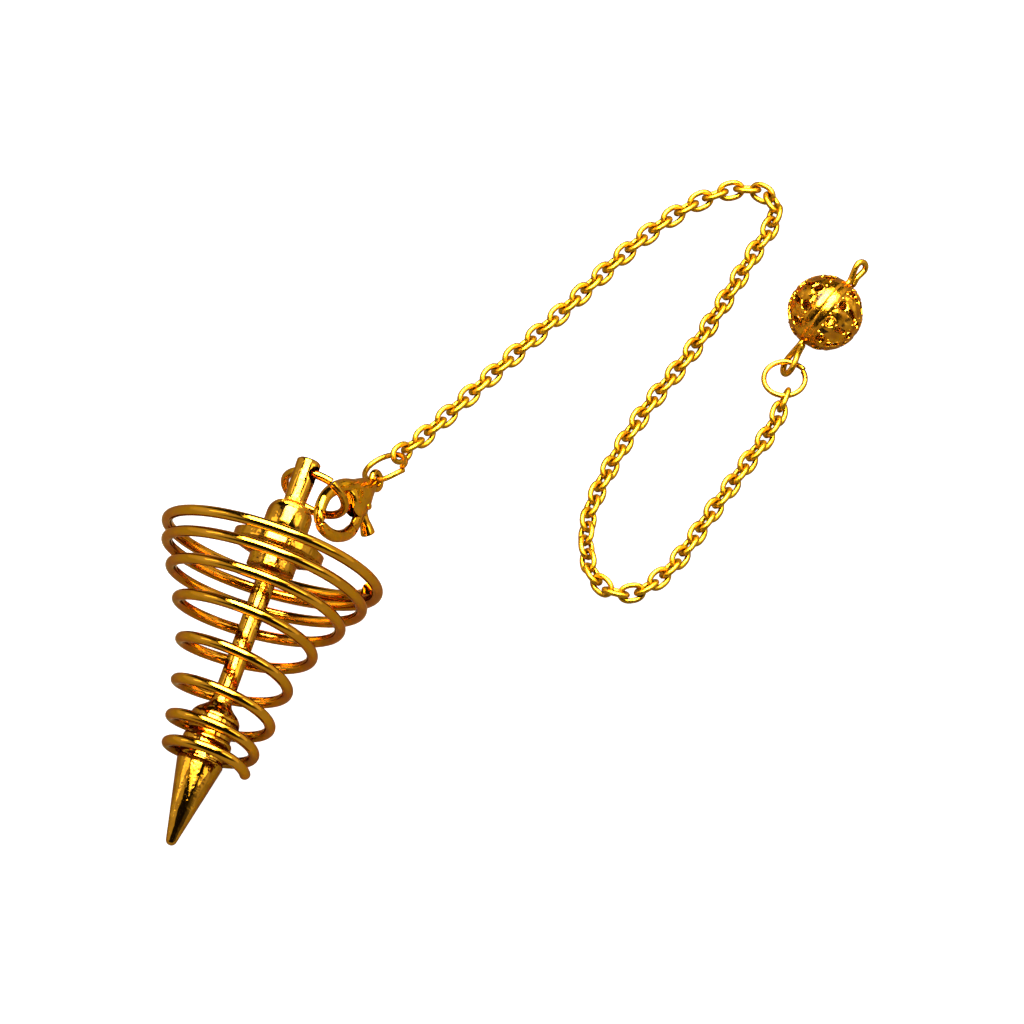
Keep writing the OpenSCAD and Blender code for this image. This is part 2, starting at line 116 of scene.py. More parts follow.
def wirePiece(name, points, radius, sides=20, swell=None):
    # an open curve with a round section, made into a mesh
    bpy.ops.object.select_all(action="DESELECT")
    bpy.ops.curve.primitive_nurbs_path_add()
    curve = bpy.context.object.data
    curve.splines.clear()
    spline = curve.splines.new("POLY")
    spline.points.add(len(points) - 1)
    for i, point in enumerate(points):
        spline.points[i].co = (*point, 1)
        spline.points[i].radius = swell[i] if swell else 1
    curve.dimensions = "3D"
    curve.twist_mode = "MINIMUM"
    curve.bevel_depth = radius
    curve.bevel_resolution = sides // 2 - 2
    curve.use_fill_caps = True
    bpy.ops.object.convert(target="MESH")
    piece = named(name)
    applyModifier(piece, "WELD", merge_threshold=0.001)
    return piece


def easedValue(rows, at, column):
    # reads a column of rows smoothly, by the rows' first column
    i = max([0] + [k for k in range(len(rows) - 1) if rows[k][0] <= at])
    span = rows[i + 1][0] - rows[i][0]
    t = (at - rows[i][0]) / span

    def slope(k):
        a, b = max(k - 1, 0), min(k + 1, len(rows) - 1)
        return (rows[b][column] - rows[a][column]) / (rows[b][0] - rows[a][0])

    start, end = rows[i][column], rows[i + 1][column]
    leave, arrive = slope(i) * span, slope(i + 1) * span
    return (start + t * leave + t * t * (3 * (end - start) - 2 * leave - arrive)
            + t ** 3 * (2 * (start - end) + leave + arrive))


def smoothPath(points, steps):
    # Catmull-Rom curve through the points
    path = []
    last = len(points) - 1
    for i in range(last):
        a, b, c, d = [Vector(points[min(max(i + k - 1, 0), last)]) for k in range(4)]
        for k in range(steps):
            t = k / steps
            path.append(0.5 * (2 * b + t * (c - a) + t * t * (2 * a - 5 * b + 4 * c - d)
                               + t ** 3 * (3 * b - a - 3 * c + d)))
    path.append(Vector(points[-1]))
    return path


def turnedPiece(name, rows, sides):
    # a disc drawn down its axis, one ring for each row of (height, radius)
    bpy.ops.object.select_all(action="DESELECT")
    height, radius = rows[0]
    bpy.ops.mesh.primitive_circle_add(vertices=sides, radius=radius, fill_type="NGON",
                                      location=(0, 0, height))
    piece = named(name)
    bpy.ops.object.mode_set(mode="EDIT")
    for nextHeight, nextRadius in rows[1:]:
        bpy.ops.mesh.extrude_region_move(
            TRANSFORM_OT_translate={"value": (0, 0, nextHeight - height)})
        k = nextRadius / radius
        bpy.ops.transform.resize(value=(k, k, 1), center_override=(0, 0, nextHeight))
        height, radius = nextHeight, nextRadius
    bpy.ops.mesh.select_all(action="SELECT")
    bpy.ops.mesh.normals_make_consistent(inside=False)
    bpy.ops.object.mode_set(mode="OBJECT")
    return piece


# materials

def addNode(tree, kind, settings=None, values=None, links=()):
    node = tree.nodes.new(kind)
    for key, value in (settings or {}).items():
        setattr(node, key, value)
    for key, value in (values or {}).items():
        node.inputs[key].default_value = value
    for key, source in links:
        tree.links.new(source, node.inputs[key])
    return node


plating = {
    "rimTint": "#C4A452",      # what the gold turns to where it is seen edge on
    "lacquer": 0.08,           # weight of the thin clear coat over the gold
    "lacquerRoughness": 0.05,
}


def pieceAxes(tree, vector, place):
    # the pattern's point in the piece's own axes, as it was before it was laid down
    mapping = addNode(tree, "ShaderNodeMapping", {"vector_type": "TEXTURE"},
                      values={"Location": place.translation, "Rotation": place.to_euler()},
                      links=[("Vector", vector)])
    return mapping.outputs["Vector"]


def distanceFrom(tree, point, level):
    # how far the point is from the plane Z = level of the piece
    parts = addNode(tree, "ShaderNodeSeparateXYZ", links=[("Vector", point)])
    off = addNode(tree, "ShaderNodeMath", {"operation": "SUBTRACT"}, values={1: level},
                  links=[(0, parts.outputs["Z"])])
    away = addNode(tree, "ShaderNodeMath", {"operation": "ABSOLUTE"},
                   links=[(0, off.outputs["Value"])])
    return away.outputs["Value"]


def castSkin(tree, skin, vector, place, normal, dullness):
    # unpolished cast skin in a band round the neck, rough and duller than the rest
    away = distanceFrom(tree, pieceAxes(tree, vector, place), skin["level"])
    near, far = skin["band"]
    band = addNode(tree, "ShaderNodeMapRange", {"interpolation_type": "SMOOTHSTEP"},
                   values={"From Min": near, "From Max": far, "To Min": 1.0, "To Max": 0.0},
                   links=[("Value", away)])
    blotch = addNode(tree, "ShaderNodeTexNoise",
                     values={"Scale": 1 / skin["size"], "Detail": 3.0, "Roughness": 0.6},
                     links=[("Vector", vector)])
    height = addNode(tree, "ShaderNodeMath", {"operation": "MULTIPLY"},
                     links=[(0, blotch.outputs["Fac"]), (1, band.outputs["Result"])])
    bump = addNode(tree, "ShaderNodeBump",
                   values={"Strength": 1.0, "Distance": skin["height"] * mm},
                   links=[("Height", height.outputs["Value"]), ("Normal", normal)])
    duller = addNode(tree, "ShaderNodeMath", {"operation": "MULTIPLY_ADD"},
                     values={1: skin["dulling"]},
                     links=[(0, band.outputs["Result"]), (2, dullness)])
    return bump.outputs["Normal"], duller.outputs["Value"]


def castPits(tree, pits, vector, normal):
    # shallow pits left by casting
    cells = addNode(tree, "ShaderNodeTexVoronoi",
                    values={"Scale": 1 / pits["size"], "Randomness": 1.0},
                    links=[("Vector", vector)])
    hollow = addNode(tree, "ShaderNodeMapRange",
                     values={"From Min": 0.0, "From Max": pits["width"],
                             "To Min": 0.0, "To Max": 1.0},
                     links=[("Value", cells.outputs["Distance"])])
    bump = addNode(tree, "ShaderNodeBump",
                   values={"Strength": 1.0, "Distance": pits["depth"] * mm},
                   links=[("Height", hollow.outputs["Result"]), ("Normal", normal)])
    return bump.outputs["Normal"]


def stampedRelief(tree, relief, vector, place, normal):
    # stamped leaves and beads, left off the plain band along the seam
    local = pieceAxes(tree, vector, place)
    near, far = relief["plainBand"]
    mask = addNode(tree, "ShaderNodeMapRange", {"interpolation_type": "SMOOTHSTEP"},
                   values={"From Min": near, "From Max": far, "To Min": 0.0, "To Max": 1.0},
                   links=[("Value", distanceFrom(tree, local, 0))])
    leaves = addNode(tree, "ShaderNodeTexVoronoi", {"feature": "SMOOTH_F1"},
                     values={"Scale": 1 / relief["size"], "Smoothness": 0.35},
                     links=[("Vector", local)])
    height = addNode(tree, "ShaderNodeMath", {"operation": "MULTIPLY"},
                     links=[(0, leaves.outputs["Distance"]), (1, mask.outputs["Result"])])
    bump = addNode(tree, "ShaderNodeBump", {"invert": True},
                   values={"Strength": 1.0, "Distance": relief["height"] * mm},
                   links=[("Height", height.outputs["Value"]), ("Normal", normal)])
    return bump.outputs["Normal"]


def wavyNormal(tree, look, vector, place, grain):
    # the surface's slow waves, along the piece where it has a stretch, and its fine grain
    if "stretch" in look:
        vector = addNode(tree, "ShaderNodeMapping", {"vector_type": "TEXTURE"},
                         values={"Rotation": place.to_euler(), "Scale": (1, 1, look["stretch"])},
                         links=[("Vector", vector)]).outputs["Vector"]
    wave = addNode(tree, "ShaderNodeTexNoise",
                   values={"Scale": 1 / look["waveSize"], "Detail": 2.0, "Roughness": 0.5},
                   links=[("Vector", vector)])
    waveBump = addNode(tree, "ShaderNodeBump",
                       values={"Strength": 1.0, "Distance": look["waveHeight"] * mm},
                       links=[("Height", wave.outputs["Fac"])])
    grainBump = addNode(tree, "ShaderNodeBump",
                        values={"Strength": 1.0, "Distance": look["grainHeight"] * mm},
                        links=[("Height", grain), ("Normal", waveBump.outputs["Normal"])])
    return grainBump.outputs["Normal"]


def platedMetal(name, look, place=None):
    # gold plating over brass: a metal with two close tints, its own roughness and its own bump;
    # look gives sizes and heights in mm, and place says how a piece with a grain lies
    material = bpy.data.materials.new(name)
    material.use_nodes = True
    tree = material.node_tree
    shader = tree.nodes["Principled BSDF"]
    atPoint = addNode(tree, "ShaderNodeTexCoord")
    inMm = addNode(tree, "ShaderNodeMapping", values={"Scale": (1000, 1000, 1000)},
                   links=[("Vector", atPoint.outputs["Object"])])
    vector = inMm.outputs["Vector"]
    tint = addNode(tree, "ShaderNodeTexNoise",
                   values={"Scale": 1 / look["tintSize"], "Detail": 3.0, "Roughness": 0.55},
                   links=[("Vector", vector)])
    tintRamp = addNode(tree, "ShaderNodeValToRGB", links=[("Fac", tint.outputs["Fac"])])
    tintRamp.color_ramp.elements[0].position = 0.32
    tintRamp.color_ramp.elements[0].color = linearColour(look["deepColour"])
    tintRamp.color_ramp.elements[1].position = 0.68
    tintRamp.color_ramp.elements[1].color = linearColour(look["colour"])
    grain = addNode(tree, "ShaderNodeTexNoise",
                    values={"Scale": 1 / look["grainSize"], "Detail": 4.0, "Roughness": 0.6},
                    links=[("Vector", vector)])
    bright, dull = look["roughness"]
    polish = addNode(tree, "ShaderNodeMapRange",
                     values={"From Min": 0.35, "From Max": 0.7, "To Min": bright, "To Max": dull},
                     links=[("Value", grain.outputs["Fac"])])
    dullness = polish.outputs["Result"]
    normal = wavyNormal(tree, look, vector, place, grain.outputs["Fac"])
    if "skin" in look:
        normal, dullness = castSkin(tree, look["skin"], vector, place, normal, dullness)
    if "pits" in look:
        normal = castPits(tree, look["pits"], vector, normal)
    if "relief" in look:
        normal = stampedRelief(tree, look["relief"], vector, place, normal)
    tree.links.new(tintRamp.outputs["Color"], shader.inputs["Base Color"])
    tree.links.new(dullness, shader.inputs["Roughness"])
    tree.links.new(normal, shader.inputs["Normal"])
    shader.inputs["Metallic"].default_value = 1.0
    shader.inputs["Specular Tint"].default_value = linearColour(plating["rimTint"])
    shader.inputs["Coat Weight"].default_value = plating["lacquer"]
    shader.inputs["Coat Roughness"].default_value = plating["lacquerRoughness"]
    return material


# camera and stage

cameraSettings = {
    "elevation": 55.5,       # above the table
    "aim": centreShift,      # the point at the middle of the picture
    "lens": 1200,            # a far, long lens: the picture has almost no perspective
    "sensor": 36,
    "frameWidth": 107.79,    # across the picture at the aim
}


def addCamera(look):
    distance = look["frameWidth"] * look["lens"] / look["sensor"]
    rise = math.radians(look["elevation"])
    back = Vector((0, -math.cos(rise), math.sin(rise)))
    bpy.ops.object.camera_add(location=(look["aim"] + distance * back) * mm,
                              rotation=(math.pi / 2 - rise, 0, 0))
    camera = bpy.context.object
    camera.data.lens = look["lens"]
    camera.data.sensor_width = look["sensor"]
    camera.data.clip_start = 0.01
    camera.data.clip_end = 50
    bpy.context.scene.camera = camera


addCamera(cameraSettings)

stageSettings = {
    "floorSize": 6.0,            # m
    "floorColour": "#E2E2E2",    # pale paper
    "tableGlow": 0.9,            # lights the paper up to white in the picture
    "tent": 0.95,                # even light of the white tent on the paper
    "boxes": [                   # name, azimuth from +Y, elevation, distance m, width, depth, radiance
        ("overheadBox", 30, 76, 1.2, 1.35, 1.55, 6.0),
        ("overheadCore", 20, 77, 1.0, 0.86, 1.0, 60.0),
        ("rightBox", 108, 36, 1.4, 0.45, 0.6, 5.0),
        ("leftBox", -78, 34, 1.4, 0.3, 0.5, 3.5),
    ],
}
roomSettings = {                 # the room round the table, by the direction from the object
    "wallTop": (0.06, 0.04),     # height of the low white wall at the front and at the back
    "wallFade": 0.08,            # how far up and down its top edge fades
    "ceiling": 0.015,            # what is left of the light above it
    "sides": (1.1, 1.45),        # the tent's left and right walls, as the metal sees them
    "sideEdge": (0.5, 0.66),     # where they begin, from the middle outwards
    "sideFront": (-0.55, -0.2),  # where they fade out towards the front
    "frontShare": 0.1,           # what is left of them there
}


def addPaper(look):
    bpy.ops.mesh.primitive_plane_add(size=look["floorSize"], location=(0, 0, 0))
    floor = named("paperFloor")
    paper = bpy.data.materials.new("mattePaper")   # matte paper: no gloss, even and pale
    paper.use_nodes = True
    tree = paper.node_tree
    shader = tree.nodes["Principled BSDF"]
    shader.inputs["Base Color"].default_value = linearColour(look["floorColour"])
    shader.inputs["Roughness"].default_value = 1.0
    shader.inputs["Specular IOR Level"].default_value = 0.0
    shader.inputs["Emission Color"].default_value = (1, 1, 1, 1)
    seen = addNode(tree, "ShaderNodeLightPath")
    glow = addNode(tree, "ShaderNodeMath", {"operation": "MULTIPLY"},
                   values={1: look["tableGlow"]}, links=[(0, seen.outputs["Is Camera Ray"])])
    tree.links.new(glow.outputs["Value"], shader.inputs["Emission Strength"])
    floor.data.materials.append(paper)


def addSoftBoxes(look):
    # the boxes are there for the metal to mirror; the tent lights the paper
    for name, azimuth, elevation, distance, width, depth, radiance in look["boxes"]:
        around, up = math.radians(azimuth), math.radians(elevation)
        way = Vector((math.sin(around) * math.cos(up), math.cos(around) * math.cos(up),
                      math.sin(up)))
        bpy.ops.object.light_add(type="AREA", location=way * distance)
        lamp = bpy.context.object
        lamp.name = name
        lamp.rotation_euler = way.to_track_quat("Z", "Y").to_euler()
        lamp.data.shape = "RECTANGLE"
        lamp.data.size = width
        lamp.data.size_y = depth
        lamp.data.energy = radiance * math.pi * width * depth
        lamp.visible_camera = False
        lamp.visible_diffuse = False


def lowWall(tree, parts, room):
    # white low down and dark above, a little higher at the front (-Y) than at the back
    top = addNode(tree, "ShaderNodeMapRange",
                  values={"From Min": -0.9, "From Max": 0.35,
                          "To Min": room["wallTop"][0], "To Max": room["wallTop"][1]},
                  links=[("Value", parts.outputs["Y"])])
    above = addNode(tree, "ShaderNodeMath", {"operation": "SUBTRACT"},
                    links=[(0, parts.outputs["Z"]), (1, top.outputs["Result"])])
    wall = addNode(tree, "ShaderNodeMapRange", {"interpolation_type": "SMOOTHSTEP"},
                   values={"From Min": -room["wallFade"], "From Max": room["wallFade"],
                           "To Min": 1.0, "To Max": room["ceiling"]},
                   links=[("Value", above.outputs["Value"])])
    return wall.outputs["Result"]


def sideWalls(tree, parts, room):
    # bright to the left and right, dark between them, fading towards the front
    aside = addNode(tree, "ShaderNodeMath", {"operation": "ABSOLUTE"},
                    links=[(0, parts.outputs["X"])])
    edge = addNode(tree, "ShaderNodeMapRange", {"interpolation_type": "SMOOTHSTEP"},
                   values={"From Min": room["sideEdge"][0], "From Max": room["sideEdge"][1],
                           "To Min": 0.0, "To Max": 1.0},
                   links=[("Value", aside.outputs["Value"])])
    level = addNode(tree, "ShaderNodeMapRange",
                    values={"From Min": -1.0, "From Max": 1.0,
                            "To Min": room["sides"][0], "To Max": room["sides"][1]},
                    links=[("Value", parts.outputs["X"])])
    behind = addNode(tree, "ShaderNodeMapRange", {"interpolation_type": "SMOOTHSTEP"},
                     values={"From Min": room["sideFront"][0], "From Max": room["sideFront"][1],
                             "To Min": room["frontShare"], "To Max": 1.0},
                     links=[("Value", parts.outputs["Y"])])
    fading = addNode(tree, "ShaderNodeMath", {"operation": "MULTIPLY"},
                     links=[(0, level.outputs["Result"]), (1, behind.outputs["Result"])])
    sides = addNode(tree, "ShaderNodeMath", {"operation": "MULTIPLY"},
                    links=[(0, edge.outputs["Result"]), (1, fading.outputs["Value"])])
    return sides.outputs["Value"]


def addRoom(look, room):
    world = bpy.data.worlds.new("studioRoom")
    bpy.context.scene.world = world
    world.use_nodes = True
    tree = world.node_tree
    place = addNode(tree, "ShaderNodeTexCoord")
    parts = addNode(tree, "ShaderNodeSeparateXYZ", links=[("Vector", place.outputs["Generated"])])
    walls = addNode(tree, "ShaderNodeMath", {"operation": "MAXIMUM"},
                    links=[(0, lowWall(tree, parts, room)), (1, sideWalls(tree, parts, room))])
    seen = addNode(tree, "ShaderNodeLightPath")
    tent = addNode(tree, "ShaderNodeMath", {"operation": "MULTIPLY"}, values={1: look["tent"]},
                   links=[(0, seen.outputs["Is Diffuse Ray"])])
    lit = addNode(tree, "ShaderNodeMath", {"operation": "MAXIMUM"},
                  links=[(0, walls.outputs["Value"]), (1, tent.outputs["Value"])])
    shown = addNode(tree, "ShaderNodeMath", {"operation": "MAXIMUM"},
                    links=[(0, lit.outputs["Value"]), (1, seen.outputs["Is Camera Ray"])])
    tree.links.new(shown.outputs["Value"], tree.nodes["Background"].inputs["Strength"])
    tree.nodes["Background"].inputs["Color"].default_value = (1, 1, 1, 1)
    bpy.context.scene.view_settings.view_transform = "Standard"


addPaper(stageSettings)
addSoftBoxes(stageSettings)
addRoom(stageSettings, roomSettings)
print("camera and stage ready")


# cast core

core = {
    "length": 43.9,
    "postEnd": (-21.2, -3.9, 15.25),   # the middle of the post's end
    "heading": 20.7,                   # how far the core is turned in plan
    "lean": 19.775,                    # how steeply it slopes down to its tip
    "sides": 96,
    "steps": 4,                        # rings drawn from one row to the next
    "coneSteps": 12,                   # and down the long cone
    "tipRadius": 0.6,
    "tipSteps": 9,
    "coneFoot": 2.52,
    "coneLength": 9.4,
    "holeDown": 1.45,                  # from the post's end to the cross hole
    "holeWidth": 1.85,
    "holeDepth": 5,                    # right through the post
    "holeRoll": 18,
    "edge": 0.06,
    "colour": "#AE7818",
    "deepColour": "#8E5A08",
    "roughness": (0.03, 0.11),
    "tintSize": 1.6,
    "waveSize": 1.25,
    "waveHeight": 0.14,
    "stretch": 3.6,                    # the waves run along the core
    "grainSize": 0.35,
    "grainHeight": 0.009,
    "pits": {"size": 0.55, "width": 0.42, "depth": 0.014},
    "skin": {                          # the cast skin left at the neck, from the post's end
        "level": -5.0, "band": (0.25, 0.75), "size": 0.4, "height": 0.25, "dulling": 0.25,
    },
}
coreUpper = [  # (down from the post's end, radius)
    (0, 1.05), (0.25, 1.3), (4.7, 1.18), (4.9, 1.22), (5.15, 1.76), (5.5, 2.105), (6.0, 2.37),
    (6.7, 2.45), (7.5, 2.45), (8.3, 2.35), (9.4, 2.15), (9.45, 4.75), (9.6, 4.95), (10.4, 4.95),
    (10.6, 4.75), (11.3, 2.75), (11.5, 2.6), (12.5, 2.6), (12.7, 2.45), (12.8, 1.6), (13.1, 1.25),
    (13.6, 1.1),
]
coreLower = [  # (up from the tip, radius)
    (16.6, 1.1), (16.0, 1.22), (15.5, 1.7), (15.1, 2.2), (14.6, 2.58), (14.1, 2.7), (13.5, 2.7),
    (13.0, 2.55), (12.7, 2.32), (12.3, 2.32), (12.0, 2.6), (11.6, 2.66), (10.9, 2.66),
    (10.5, 2.58), (10.2, 2.38), (9.9, 2.38), (9.6, 2.48), (9.4, 2.52),
]


def lieDown():
    # the core is drawn down its own axis from the post's end, then laid on the table
    return (Matrix.Translation(centreShift + Vector(core["postEnd"]))
            @ Matrix.Rotation(math.radians(-core["heading"]), 4, "Z")
            @ Matrix.Rotation(math.radians(core["lean"] - 90), 4, "X"))


def buildCore(look):
    length, tip = look["length"], look["tipRadius"]
    rows = coreUpper + [(length - up, radius) for up, radius in coreLower]
    fine = []
    for (a, ra), (b, rb) in zip(rows, rows[1:]):
        # close rows stay a crisp step; the others are eased, the cone in more rings
        steps = look["steps"]
        if b - a < 0.09:
            steps = 1
        if b - a > 3:
            steps = look["coneSteps"]
        for k in range(steps):
            at = mix(a, b, k / steps)
            smooth = easedValue(rows, at, 1)
            fine.append((-at, min(max(smooth, min(ra, rb)), max(ra, rb))))
    reach = math.hypot(look["coneFoot"], look["coneLength"] - tip)
    slope = math.atan(look["coneFoot"] / (look["coneLength"] - tip)) - math.asin(tip / reach)
    for k in range(look["tipSteps"]):
        # the last ring stops just short of the tip, and its face closes it
        a = mix(slope, math.pi / 2, k / (look["tipSteps"] + 0.4))
        fine.append((tip * (1 - math.sin(a)) - length, tip * math.cos(a)))
    piece = turnedPiece("castCore", fine, look["sides"])
    bpy.ops.object.select_all(action="DESELECT")
    bpy.ops.mesh.primitive_cylinder_add(
        vertices=48, radius=look["holeWidth"] / 2, depth=look["holeDepth"],
        location=(0, 0, -look["holeDown"]),
        rotation=(0, math.pi / 2, math.radians(-look["holeRoll"])))
    cutWith(piece, bpy.context.object)
    softenEdges(piece, look["edge"], 40)
    # gold-plated cast brass, polished: wobbling mirror bands, small pits where the cast skin shows
    finish = platedMetal("platedCastBrass", look, lieDown())
    return settle(piece, lieDown(), "root", ["core"], finish)


buildCore(core)


# coil

coil = {
    "wire": 1.2,
    "sides": 24,
    "turns": 7.97,
    "stepsPerTurn": 60,
    "top": 10.7,                  # down from the post's end to the widest turn
    "startAngle": 11.8,
    "innerRadius": 4.3,           # to the wire's middle, as the outer one
    "outerRadius": 11.7,
    "length": 24.15,
    "offset": (-0.19, -0.22),     # the coil sits and leans a little off the core's axis
    "lean": (0.0305, -0.033),
    "nip": (0.66, 0.7),           # reach of the cut at the upper end, and its slant
    "edge": 0.07,
    "colour": "#B67C1A",
    "deepColour": "#A86E0A",
    "roughness": (0.04, 0.13),
    "tintSize": 3.0,
    "waveSize": 3.0,
    "waveHeight": 0.05,
    "grainSize": 0.3,
    "grainHeight": 0.004,
}
coilRows = [  # (turn, radius share, length share)
    (0, 0.838, 0.021), (0.25, 0.986, -0.004), (0.5, 1.01, 0), (1, 0.988, 0.036),
    (2, 0.853, 0.1315), (3, 0.65, 0.248), (4, 0.397, 0.402), (5, 0.219, 0.582),
    (6, 0.14, 0.757), (7, 0.045, 0.895), (7.5, 0.02, 0.95), (7.8, 0.015, 0.97), (8, 0.02, 0.995),
]


def coilPoint(look, turn):
    # the wire's middle after so many turns, in the core's axes
    radius = mix(look["innerRadius"], look["outerRadius"], easedValue(coilRows, turn, 1))
    drop = look["length"] * easedValue(coilRows, turn, 2)
    around = 2 * math.pi * turn
    x, y = radius * math.cos(around), radius * math.sin(around)
    leanX, leanY = look["lean"]
    px = x + look["offset"][0] + leanX * drop
    py = y + look["offset"][1] + leanY * drop
    start = math.radians(look["startAngle"])
    return Vector((px * math.cos(start) - py * math.sin(start),
                   px * math.sin(start) + py * math.cos(start),
                   leanX * x + leanY * y - drop - look["top"]))


def buildCoil(look):
    count = round(look["turns"] * look["stepsPerTurn"])
    points = [coilPoint(look, look["turns"] * i / count) for i in range(count + 1)]
    piece = wirePiece("coilWire", points, look["wire"] / 2, look["sides"])
    # the upper end is nipped off at a slant
    reach, slant = look["nip"]
    along = unit(points[1] - points[0])
    up = lieDown().to_3x3().transposed() @ Vector((0, 0, 1))
    for vertex in piece.data.vertices:
        off = vertex.co - points[0]
        if off.length < reach:
            vertex.co -= slant * off.dot(up) * along
    softenEdges(piece, look["edge"], 50)
    # gold-plated hard-drawn brass wire, polished: long clean highlights along each turn
    finish = platedMetal("platedDrawnWire", look)
    return settle(piece, lieDown(), "root", ["coil"], finish)


buildCoil(coil)


# rings

ringLook = {
    "colour": "#B27C18",
    "deepColour": "#A26E0C",
    "roughness": (0.08, 0.2),
    "tintSize": 1.2,
    "waveSize": 1.2,
    "waveHeight": 0.04,
    "grainSize": 0.2,
    "grainHeight": 0.006,
}
paleLook = {
    "colour": "#AC7A14",
    "deepColour": "#96660A",
    "roughness": (0.22, 0.34),
    "tintSize": 0.9,
    "waveSize": 0.9,
    "waveHeight": 0.04,
    "grainSize": 0.15,
    "grainHeight": 0.006,
}
# each ring's wire is cut at gapAt and left open by gap, below zero where its ends pass each
# other; slip is how far the ends part sideways, and spring how far one of them stands out
bailRing = {
    "outer": 7.85, "wire": 0.9, "gapAt": 57, "gap": 4, "slip": 0.1, "spring": 0.42,
    "at": (-20.684, -5.372, 11.327), "turn": -25, "tilt": 0, "stand": 90,
}
claspRing = {
    "outer": 5.2, "wire": 0.6, "gapAt": 197, "gap": -6, "slip": 0.3, "spring": 0.3,
    "at": (-13.37, 4.33), "turn": 132.5, "tilt": 32.8, "stand": 0, "lift": 0.7,
}
endRing = {
    "outer": 4.94, "wire": 0.57, "gapAt": 28, "gap": 3, "slip": 0.06, "spring": 0.14,
    "at": (28.75, 16.24, 1.2), "turn": 0, "tilt": 0, "stand": 0,
    "part": (4.9, 0.52),      # outer and wire of the part's own ring, which the chain is hung on
}
ringShape = {
    "steps": 96,
    "sides": 20,
    "slipShare": 9,           # the ends part over a ninth of the ring
    "springShare": 8,
    "edge": 0.05,
}


def ringRadius(outer, wire):
    return (outer - wire) / 2


def ringPlace(ring):
    centre = centreShift + Vector(ring["at"]).to_3d()
    if "lift" in ring:
        # a ring that leans on the table with its lower side
        centre.z = (ringRadius(ring["outer"], ring["wire"]) * math.sin(math.radians(ring["tilt"]))
                    + ring["lift"])
    return (Matrix.Translation(centre)
            @ Matrix.Rotation(math.radians(ring["turn"]), 4, "Z")
            @ Matrix.Rotation(math.radians(ring["tilt"]), 4, "Y")
            @ Matrix.Rotation(math.radians(ring["stand"]), 4, "X"))


def buildRing(name, ring, node, finish):
    # wire bent round, its cut ends a little out of line and one of them sprung outwards
    radius = ringRadius(ring["outer"], ring["wire"])
    points = []
    steps = ringShape["steps"]
    for k in range(steps + 1):
        share = k / steps
        a = math.radians(ring["gapAt"] + ring["gap"] / 2 + (360 - ring["gap"]) * share)
        fromStart = max(0, 1 - share * ringShape["slipShare"])
        fromEnd = max(0, 1 - (1 - share) * ringShape["slipShare"])
        off = ring["slip"] * (fromStart ** 2 - fromEnd ** 2)
        out = radius + ring["spring"] * max(0, 1 - share * ringShape["springShare"]) ** 2
        points.append(Vector((out * math.cos(a), out * math.sin(a), off)))
    piece = wirePiece(name, points, ring["wire"] / 2, ringShape["sides"])
    softenEdges(piece, ringShape["edge"], 50)
    return settle(piece, ringPlace(ring), "root", [node], finish)


# gold-plated brass wire, cut and bent: bright but less even than the coil
ringFinish = platedMetal("platedRingWire", ringLook)
# thin gold-plated wire straight from the draw plate: paler and softer than polished plate
paleFinish = platedMetal("platedSoftWire", paleLook)

buildRing("bailWire", bailRing, "bail_ring", ringFinish)
buildRing("claspWire", claspRing, "clasp_ring", paleFinish)
buildRing("endWire", endRing, "end_ring", paleFinish)


# clasp

clasp = {
    "eyeAt": (-14.31, 2.23, 2.56),
    "heading": 239.6,             # the way from the eye to the hook, in plan
    "rise": 26.5,
    "roll": -60.2,
    "eye": (2.5, 0.75),           # outer and wire
    "rivetAt": (4.2, 1.2),
    "rivet": 0.8,
    "rivetLength": 2.42,          # its heads stand a little proud of the cheeks
    "rivetEdge": 0.12,
    "rivetPlay": 0.04,
    "knuckle": (2.0, 0.9),        # the lever's boss round the rivet: across, and its length
    "slotOff": (0.6, 0.7, 0),     # the lever's slot, from the rivet
    "slot": (6, 4, 1.1),
    "ridge": 0.3,                 # how much of each cheek's height is its ridge
    "voxel": 0.075,               # the grid that the joined forms are melted together on
    "colour": "#BE8218",
    "deepColour": "#A8740C",
    "roughness": (0.05, 0.14),
    "tintSize": 1.5,
    "waveSize": 2.0,
    "waveHeight": 0.22,
    "grainSize": 0.3,
    "grainHeight": 0.004,
}
bodyRows = [  # (x, low, high, thickness)
    (0.75, -0.6, 0.55, 1.2), (1.5, -1.0, 0.95, 1.6), (2.5, -1.4, 1.55, 2.0),
    (3.5, -1.75, 2.1, 2.5), (4.5, -2.1, 2.4, 2.6), (5.3, -2.4, 2.3, 2.55),
    (5.9, -2.5, 1.95, 2.4), (6.35, -2.5, 1.4, 1.95), (6.6, -2.4, 0.7, 1.2),
]
hookRows = [  # (x, y, width, thickness)
    (4.7, -1.25, 1.7, 2.1), (6.1, -1.95, 1.65, 2.0), (7.4, -2.38, 1.5, 1.75),
    (8.8, -2.58, 1.4, 1.55), (10.2, -2.55, 1.33, 1.4), (11.35, -2.15, 1.3, 1.35),
    (12.15, -1.6, 1.3, 1.3), (12.55, -1.05, 1.25, 1.2), (12.62, -0.8, 1.2, 1.15),
    (12.62, -0.6, 1.2, 1.15),
]
leverRows = [  # (x, y, width, thickness)
    (4.4, 1.35, 1.5, 0.9), (5.3, 2.05, 1.5, 0.9), (6.2, 2.5, 1.45, 0.9), (6.8, 2.7, 1.4, 0.95),
    (7.3, 2.72, 1.4, 1.25), (8.3, 2.68, 1.35, 1.4), (9.5, 2.35, 1.35, 1.4),
    (10.7, 1.8, 1.35, 1.4), (11.7, 1.0, 1.3, 1.35), (12.35, 0.25, 1.3, 1.25),
    (12.6, -0.2, 1.2, 1.15), (12.62, -0.44, 1.15, 1.1),
]
